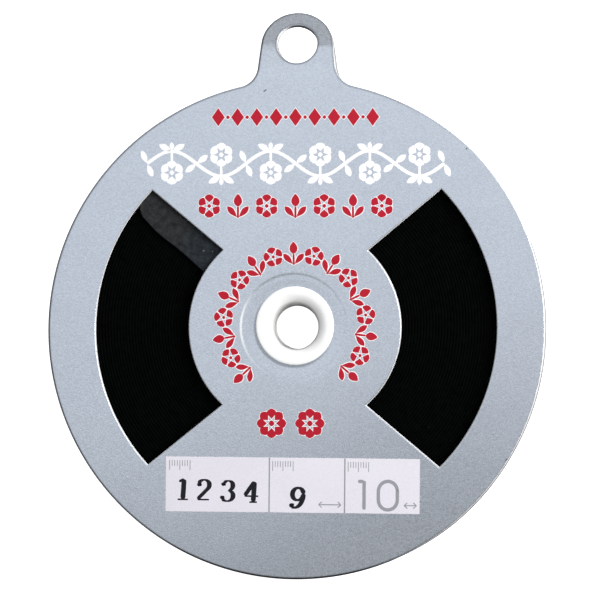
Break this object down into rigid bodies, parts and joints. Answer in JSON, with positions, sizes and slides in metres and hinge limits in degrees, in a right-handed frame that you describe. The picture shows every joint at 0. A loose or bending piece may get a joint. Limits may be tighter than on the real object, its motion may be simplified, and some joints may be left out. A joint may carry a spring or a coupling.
{
  "type": "bias binding roll on card reel",
  "caption": "Flat roll of narrow black bias tape between silver card discs, with a white flared hub, hanging tabs and windows in the front disc that show the tape.",
  "frame": {"origin": "on the surface that the back flange lies on, under the middle of the whole outline, tabs included", "axes": "+Z along the reel's axis, out of the front flange; +Y from the hub towards the hanging tabs; +X to the right, seen from the front"},
  "size_m": [0.12, 0.1366, 0.0127],
  "materials": {
    "silver_card": "satin silver print on white board, bare white on its cut edges",
    "white_plastic": "smooth moulded, low gloss",
    "black_tape": "matt, folded edges of plain weave cloth",
    "charcoal_tape": "matt plain weave on the bias, pressed flat"
  },
  "bodies": {
    "root": {"front_flange": "silver_card", "back_flange": "silver_card", "hub": "white_plastic", "wound_tape": "black_tape", "tape_end": "charcoal_tape"}
  },
  "joints": []
}
